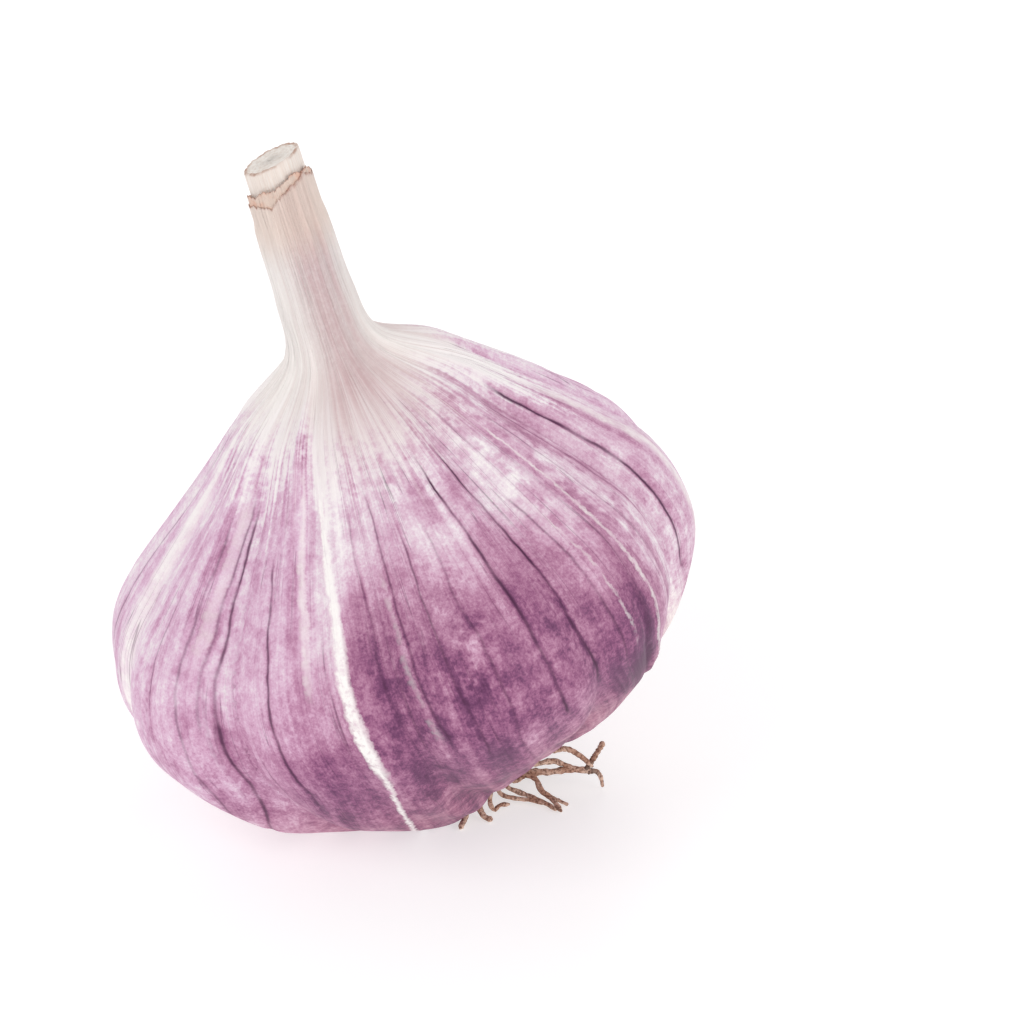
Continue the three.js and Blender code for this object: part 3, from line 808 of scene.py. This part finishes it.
# How the skin changes on the way round, in degrees from 90 to 450: the station where the purple
# begins, how deep it is there and at the belly, the station where one passes into the other, how
# far its colour is that of the left, and how mauve the neck is
skinRound = {
    "begins": [
        (90, 0.70), (120, 0.74), (150, 0.72), (165, 0.735), (180, 0.72), (198, 0.725), (222, 0.71),
        (234, 0.765), (243, 0.68), (262, 0.695), (274, 0.69), (284, 0.715), (300, 0.735), (330, 0.74),
        (344, 0.63), (372, 0.7), (400, 0.74), (425, 0.69), (450, 0.70),
    ],
    "shallow": [
        (90, 0.3), (120, 0.36), (150, 0.26), (180, 0.27), (195, 0.36), (212, 0.44), (223, 0.4), (233, 0.43),
        (246, 0.22), (262, 0.3), (274, 0.3), (284, 0.44), (296, 0.3), (308, 0.5), (320, 0.52), (332, 0.44),
        (346, 0.34), (372, 0.26), (402, 0.4), (420, 0.32), (436, 0.42), (450, 0.3),
    ],
    "deep": [
        (90, 0.5), (120, 0.62), (150, 0.42), (168, 0.28), (180, 0.31), (198, 0.31), (214, 0.62), (222, 0.74),
        (232, 0.78), (250, 0.84), (264, 0.87), (276, 0.84), (290, 0.8), (300, 0.84), (306, 0.84), (312, 0.48),
        (322, 0.28), (332, 0.2), (342, 0.34), (350, 0.36), (372, 0.45), (402, 0.75), (420, 0.55), (436, 0.72),
        (450, 0.5),
    ],
    "turns": [
        (90, 0.5), (150, 0.42), (190, 0.4), (226, 0.38), (240, 0.42), (250, 0.54), (264, 0.545), (276, 0.51),
        (290, 0.51), (305, 0.44), (320, 0.42), (360, 0.45), (402, 0.53), (450, 0.5),
    ],
    "left": [(90, 0.5), (162, 0.7), (226.8, 0.5), (248.4, 0.1), (327.6, 0.0), (378, 0.5), (450, 0.5)],
    "mauve": [
        (90, 0.2), (133.2, 0.1), (198, 0.02), (231.84, 0.2), (242.64, 0.36), (255.6, 0.72), (270, 0.85),
        (284.4, 0.95), (295.92, 0.62), (306, 0.7), (318.96, 0.3), (338.4, 0.1), (370.8, 0.2), (406.8, 0.45),
        (450, 0.2),
    ],
}
# soft clouds: [degrees, station, half width in each, how much deeper the purple is there]
skinClouds = [
    (298, 0.61, 7, 0.07, -0.2), (318, 0.535, 6, 0.09, -0.26), (305, 0.34, 5, 0.1, 0.2),
    (216, 0.5, 6, 0.05, -0.08), (298, 0.3, 6, 0.08, 0.34), (306, 0.56, 5, 0.08, -0.16),
    (345, 0.55, 6, 0.12, 0.2), (263, 0.48, 8, 0.06, -0.1), (229, 0.31, 9, 0.07, 0.08),
    (272, 0.6, 5, 0.07, -0.12), (235, 0.73, 4, 0.05, 0.34), (195, 0.5, 4, 0.05, -0.1),
    (272, 0.44, 4, 0.05, -0.18), (210, 0.62, 4, 0.05, -0.12), (284, 0.32, 4, 0.06, -0.1),
    (296, 0.53, 4, 0.06, 0.1), (408, 0.5, 9, 0.12, 0.14), (124, 0.45, 10, 0.1, 0.12),
    (386, 0.6, 7, 0.08, -0.15), (248, 0.52, 3, 0.06, 0.12), (232, 0.62, 3, 0.04, -0.1),
]
# the noises that it is mottled with: [scale round, scale round, scale along] or the scale in
# space, then detail and roughness
skinNoises = {
    "sway": ((3, 3, 9), 2.0, 0.55),
    "shiver": ((20, 20, 60), 2.0, 0.55),
    "streak": ((24, 24, 3), 3.0, 0.6),
    "rib": ((15, 15, 1.2), 2.0, 0.6),
    "ridge": ((30, 30, 2.5), 1.0, 0.55),
    "broad": ((7, 7, 5), 2.0, 0.6),
    "fibre": ((95, 95, 7), 2.0, 0.6),
    "patch": (200.0, 2.0, 0.6),
    "clump": (620.0, 2.0, 0.65),
    "speckle": (1700.0, 2.0, 0.75),
    "grain": (4600.0, 1.0, 0.7),
}
# how far each noise moves what it is added to
skinMottle = {
    "turn": {"broad": 0.03, "clump": 0.012},
    "depth": {"rib": 0.08, "broad": 0.11, "patch": 0.09, "streak": 0.06, "fibre": 0.03},
    "speckles": {"clump": 0.08, "speckle": 0.07, "grain": 0.05},
    "start": {"rib": 0.03, "streak": 0.04, "broad": 0.02, "clump": 0.02, "speckle": 0.02},
    "neckStart": {"streak": 0.02, "broad": 0.02},
    "mauve": {"fibre": 0.14, "streak": 0.14},
    "stripeEdge": {"clump": 0.16, "speckle": 0.28},
    "stripe": {"clump": 0.2},
}
skinSurface = {
    "roughness": (0.46, 0.58),
    "specular": 0.35,
    "bumps": {"streak": 0.00014, "fibre": 0.00007, "grain": 0.00002},
}


class SkinFinish(Finish):
    def __init__(self):
        super().__init__("garlicSkin")
        inObject, wrap, share, self.station = self.places()
        self.around = self.maths("MULTIPLY", share, 360.0)
        self.half = self.maths("MULTIPLY", self.maths("SUBTRACT", share, 0.25), 0.5)
        self.noises = {}
        for name, (scale, detail, roughness) in skinNoises.items():
            if isinstance(scale, tuple):
                self.noises[name] = self.noise(self.stretched(wrap, scale), 1.0, detail, roughness)
            else:
                self.noises[name] = self.noise(inObject, scale, detail, roughness)

    def goingRound(self, name):
        return self.ramp(self.half, [((at - 90) / 720, value) for at, value in skinRound[name]])

    def mottled(self, value, name):
        for noise, size in skinMottle[name].items():
            value = self.maths("ADD", value, self.between(self.noises[noise], 0.28, 0.72, -size, size))
        return value

    def multiplied(self, share, colour, factor):
        return self.mix(share, colour, self.mix(1.0, colour, factor, "MULTIPLY"))

    # 1 on a band of stations, with a soft edge below and above
    def inBand(self, below, above):
        return self.maths("MULTIPLY", self.between(self.station, *below), self.between(self.station, *above))

    # the lines down the skin, which sway a little
    def lines(self):
        swayed = self.maths("ADD", self.around, self.between(self.noises["sway"], 0.2, 0.8, -0.9, 0.9))
        swayed = self.maths("ADD", swayed, self.between(self.noises["shiver"], 0.2, 0.8, -0.14, 0.14))
        step = self.maths("SUBTRACT", self.station, skinLines["middle"])
        group = lineGroup()
        # the dark lines' thin cores and soft bands: veins, and at the folded-over edge painted shade
        band, veinsAndCreaseShade = lineMask(self, group, skinLines["dark"], swayed, step)
        veinsAndCreaseShade = self.maths("MULTIPLY", veinsAndCreaseShade, self.between(self.noises["patch"], 0.35, 0.6, 0.45, 1.0))
        stripes = lineMask(self, group, skinLines["pale"], self.mottled(swayed, "stripeEdge"), step)[0]
        stripes = self.maths("MULTIPLY", stripes, self.between(self.noises["speckle"], 0.25, 0.6, 0.6, 1.0))
        near = self.between(stripes, 0.0, 0.15)
        stripes = self.maths("MULTIPLY", self.mottled(stripes, "stripe"), near, clamp=True)
        return band, veinsAndCreaseShade, stripes

    # how deep the purple is: paler near its start, deeper at the belly, with clouds and speckles
    def depth(self, band):
        shallow, deep, turns = (self.goingRound(name) for name in ("shallow", "deep", "turns"))
        height = self.mottled(self.station, "turn")
        lower = self.between(self.maths("SUBTRACT", turns, height), -0.09, 0.085)
        depth = self.maths("MULTIPLY_ADD", self.maths("SUBTRACT", deep, shallow), lower, shallow)
        for at, height, halfRound, halfHigh, deeper in skinClouds:
            off = self.maths("DIVIDE", self.maths("SUBTRACT", self.around, float(at)), float(halfRound))
            rise = self.maths("DIVIDE", self.maths("SUBTRACT", self.station, height), halfHigh)
            apart = self.maths("MULTIPLY_ADD", off, off, self.maths("MULTIPLY", rise, rise))
            ragged = self.between(self.noises["clump"], 0.28, 0.72, -0.25, 0.25)
            apart = self.maths("ADD", self.maths("SQRT", apart), ragged)
            depth = self.maths("ADD", depth, self.between(apart, 1.3, 0.3, 0.0, deeper))
        depth = self.maths("ADD", depth, self.between(self.station, 0.28, 0.12, 0.0, -0.08))
        depth = self.maths("MULTIPLY_ADD", band, 0.16, self.mottled(depth, "depth"))
        share = self.maths("MULTIPLY_ADD", lower, 0.35, 0.9)
        depth = self.maths("MULTIPLY_ADD", self.mottled(0.0, "speckles"), share, depth)
        # it begins below the white shoulder, ragged and speckled
        below = self.mottled(self.maths("SUBTRACT", self.goingRound("begins"), self.station), "start")
        return self.maths("MULTIPLY", depth, self.between(below, -0.05, 0.075))

    # greyer to the right, pinker to the left, rosy at the foot
    def purple(self, depth):
        stops = [(at, shade(code)) for at, code in skinColours["purples"]]
        colour = self.ramp(self.maths("MULTIPLY", depth, skinColours["depthScale"]), stops, smoothly=False)
        tint = self.mix(self.goingRound("left"), skinColours["right"], skinColours["left"])
        colour = self.multiplied(self.between(depth, 0.1, 0.35), colour, tint)
        return self.multiplied(self.between(self.station, 0.34, 0.16), colour, skinColours["rosy"])

    # ivory with a mauve side, warmer under the torn edge, and whitish strands where it gathers
    def withNeck(self, colour):
        mauve = self.mottled(self.goingRound("mauve"), "mauve")
        neck = self.mix(mauve, shade(skinColours["neck"]), shade(skinColours["neckMauve"]))
        flecks = self.between(self.noises["speckle"], 0.62, 0.3, 0.0, 0.18)
        neck = self.mix(flecks, neck, shade(skinColours["cream"]))
        warm = self.between(self.station, 0.925, 0.985, 0.0, 0.7)
        neck = self.mix(warm, neck, shade(skinColours["neckTop"]))
        onNeck = self.between(self.mottled(self.station, "neckStart"), 0.715, 0.80)
        colour = self.mix(onNeck, colour, neck)
        greyed = self.maths("MULTIPLY", mauve, self.between(self.station, 0.64, 0.74, 0.0, 0.55))
        greyed = self.maths("MULTIPLY", greyed, self.between(self.station, 0.84, 0.78))
        colour = self.mix(greyed, colour, shade(skinColours["neckMauve"]))
        strand = self.between(self.noises["fibre"], 0.52, 0.66, 0.0, 0.36)
        strand = self.maths("MULTIPLY", strand, self.inBand((0.6, 0.7), (0.95, 0.8)))
        return self.mix(strand, colour, shade(skinColours["cream"]))

    # a net of finer veins, thin and nearly straight down
    def net(self):
        ridge = self.maths("ABSOLUTE", self.maths("SUBTRACT", self.noises["ridge"], 0.5))
        net = self.between(ridge, 0.014, 0.0)
        net = self.maths("MULTIPLY", net, self.between(self.noises["broad"], 0.42, 0.62, 0.0, 0.5))
        return self.maths("MULTIPLY", net, self.between(self.station, 0.84, 0.7))

    def withTornEdges(self, colour):
        clumps = self.between(self.noises["clump"], 0.35, 0.65)
        torn = self.mix(clumps, shade(skinColours["torn"]), shade(skinColours["neckTop"]))
        colour = self.mix(self.between(self.station, 1.006, 1.012), colour, torn)
        outer = self.inBand((0.998, 1.001), (1.013, 1.009))
        inner = self.inBand((1.038, 1.042), (1.06, 1.05))
        speckled = self.between(self.noises["speckle"], 0.35, 0.65, 0.15, 0.8)
        rims = self.maths("MULTIPLY", self.maths("ADD", outer, inner, clamp=True), speckled)
        return self.mix(rims, colour, shade(skinColours["tornEdge"]))


def skinFinish():
    finish = SkinFinish()
    band, veinsAndCreaseShade, stripes = finish.lines()
    colour = finish.withNeck(finish.purple(finish.depth(band)))
    colour = finish.mix(stripes, colour, shade(skinColours["cream"]))
    # the vein colour on the veins and the finer net, and as painted shade in the groove under the folded-over
    # edge
    colour = finish.mix(finish.maths("MAXIMUM", veinsAndCreaseShade, finish.net()), colour, shade(skinColours["veinAndCreaseShade"]))
    finish.feed(finish.shader.inputs["Base Color"], finish.withTornEdges(colour))
    roughness = finish.between(finish.noises["streak"], 0.25, 0.75, *skinSurface["roughness"])
    finish.feed(finish.shader.inputs["Roughness"], roughness)
    finish.shader.inputs["Specular IOR Level"].default_value = skinSurface["specular"]
    finish.bump(*((finish.noises[name], size) for name, size in skinSurface["bumps"].items()))
    return finish.material


stalkColours = {
    "side": "f4ebe4",
    "sideWarm": "ebdcd2",
    "face": "f8f2ec",
    "core": "e6d9cf",
    "rim": "b48a76",
}


def stalkFinish():
    finish = Finish("cutStalk")
    inObject, wrap, share, station = finish.places()
    fibre = finish.noise(finish.stretched(wrap, (26, 26, 5)), 1.0, 3.0, 0.6)
    fine = finish.noise(inObject, 2600.0, 3.0, 0.7)
    blotch = finish.noise(inObject, 700.0, 3.0, 0.6)
    tones = {name: shade(code) for name, code in stalkColours.items()}
    side = finish.mix(finish.between(fibre, 0.3, 0.7), tones["side"], tones["sideWarm"])
    ringed = finish.noise(finish.stretched(wrap, (4, 4, 40)), 1.0, 3.0, 0.6)
    face = finish.mix(finish.between(ringed, 0.35, 0.7), tones["face"], tones["core"])
    face = finish.mix(finish.between(fine, 0.5, 0.75, 0.0, 0.5), face, tones["core"])
    colour = finish.mix(finish.between(station, 0.722, 0.74), side, face)
    above = finish.between(station, 0.695, 0.715)
    rim = finish.maths("MULTIPLY", above, finish.between(station, 0.76, 0.735))
    rim = finish.maths("MULTIPLY", rim, finish.between(blotch, 0.35, 0.6, 0.1, 0.85))
    colour = finish.mix(rim, colour, tones["rim"])
    finish.feed(finish.shader.inputs["Base Color"], colour)
    finish.feed(finish.shader.inputs["Roughness"], finish.between(fibre, 0.2, 0.8, 0.6, 0.78))
    finish.shader.inputs["Specular IOR Level"].default_value = 0.3
    finish.bump((fibre, 0.00012), (fine, 0.00005))
    return finish.material


# tan is the roots' own colour; pale is a painted highlight colour and the brown a painted shadow colour,
# scattered by noise as blotches and flecks that also stand for the roots' own uneven tone
rootColours = {
    "pale": "e3c2ae",
    "tan": "c0957f",
    "shadowBrown": "70493b",
    # dark: painted shade on the plate and the roots' bases, under the bulb
    "dark": "3b261f",
}


def rootFinish():
    finish = Finish("driedRoot")
    inObject = finish.add("ShaderNodeTexCoord").outputs["Object"]
    share = finish.attribute("station", "Fac")
    blotch = finish.noise(inObject, 700.0, 3.0, 0.6)
    fine = finish.noise(inObject, 3600.0, 3.0, 0.7)
    tones = {name: shade(code) for name, code in rootColours.items()}
    # pale blotches and brown flecks: the roots' uneven tone, in painted highlight and painted shadow colours
    colour = finish.mix(finish.between(blotch, 0.4, 0.6), tones["tan"], tones["pale"])
    colour = finish.mix(finish.between(fine, 0.46, 0.6, 0.0, 0.8), colour, tones["shadowBrown"])
    # painted shade: darker towards the plate, where the roots sit under the bulb
    colour = finish.mix(finish.between(share, 0.55, 0.1, 0.0, 0.7), colour, tones["dark"])
    finish.feed(finish.shader.inputs["Base Color"], colour)
    finish.feed(finish.shader.inputs["Roughness"], finish.between(fine, 0.3, 0.7, 0.72, 0.9))
    finish.shader.inputs["Specular IOR Level"].default_value = 0.25
    finish.bump((blotch, 0.0002), (fine, 0.00012))
    return finish.material


skin = makeSkin(skinFinish())
print("skin:", len(skin.data.polygons), "faces")
stub = makeStalk(stalkFinish())
crown = makeRoots(rootFinish())
print("stalk:", len(stub.data.polygons), "faces; roots:", len(crown.data.polygons), "faces")


# floor, light and camera
studio = {
    "floorHalf": 3.0,
    "floorColour": "c2c2c2",
    "floorGlow": 0.56,
    "world": 0.66,
    # place in metres, size, watts and colour of each soft light
    "lights": [
        ((-0.55, -0.5, 0.7), 0.6, 2.7, (1.0, 0.99, 0.98)),
        ((0.75, -0.45, 0.4), 0.6, 2.1, (1.0, 1.0, 1.0)),
        ((0.1, 0.8, 0.7), 0.5, 1.8, (1.0, 1.0, 1.0)),
    ],
}


def makeFloor():
    shape = bmesh.new()
    bmesh.ops.create_grid(shape, x_segments=1, y_segments=1, size=studio["floorHalf"])
    mesh = bpy.data.meshes.new("floor")
    shape.to_mesh(mesh)
    shape.free()
    floor = bpy.data.objects.new("floor", mesh)
    bpy.context.scene.collection.objects.link(floor)
    finish = Finish("paleFloor")
    finish.shader.inputs["Base Color"].default_value = shade(studio["floorColour"])
    finish.shader.inputs["Roughness"].default_value = 0.9
    finish.shader.inputs["Specular IOR Level"].default_value = 0.1
    finish.shader.inputs["Emission Color"].default_value = (1, 1, 1, 1)
    finish.shader.inputs["Emission Strength"].default_value = studio["floorGlow"]
    mesh.materials.append(finish.material)


def makeLights():
    aim = Vector(bulb["centre"]) * mm
    for i, (place, size, watts, colour) in enumerate(studio["lights"]):
        data = bpy.data.lights.new(f"softLight{i}", "AREA")
        data.shape = "DISK"
        data.size = size
        data.energy = watts
        data.color = colour
        light = bpy.data.objects.new(data.name, data)
        light.location = place
        light.rotation_euler = (aim - Vector(place)).to_track_quat("-Z", "Y").to_euler()
        bpy.context.scene.collection.objects.link(light)
    world = bpy.data.worlds.new("paleRoom")
    world.use_nodes = True
    world.node_tree.nodes["Background"].inputs[0].default_value = (1, 1, 1, 1)
    world.node_tree.nodes["Background"].inputs[1].default_value = studio["world"]
    bpy.context.scene.world = world


view = {"elevation": 30, "distance": 420, "lens": 150.8, "shift": (0.0647, 0.0924)}


def makeCamera():
    tilt = math.radians(view["elevation"])
    toward = Vector((0, -math.cos(tilt), math.sin(tilt)))
    data = bpy.data.cameras.new("camera")
    data.sensor_width = 36
    data.lens = view["lens"]
    data.shift_x, data.shift_y = view["shift"]
    data.clip_start = 0.02
    data.clip_end = 20
    camera = bpy.data.objects.new("camera", data)
    camera.location = (Vector(bulb["centre"]) + toward * view["distance"]) * mm
    camera.rotation_euler = (math.pi / 2 - tilt, 0, 0)
    bpy.context.scene.collection.objects.link(camera)
    bpy.context.scene.camera = camera


makeFloor()
makeLights()
makeCamera()
bpy.context.scene.view_settings.view_transform = "Standard"
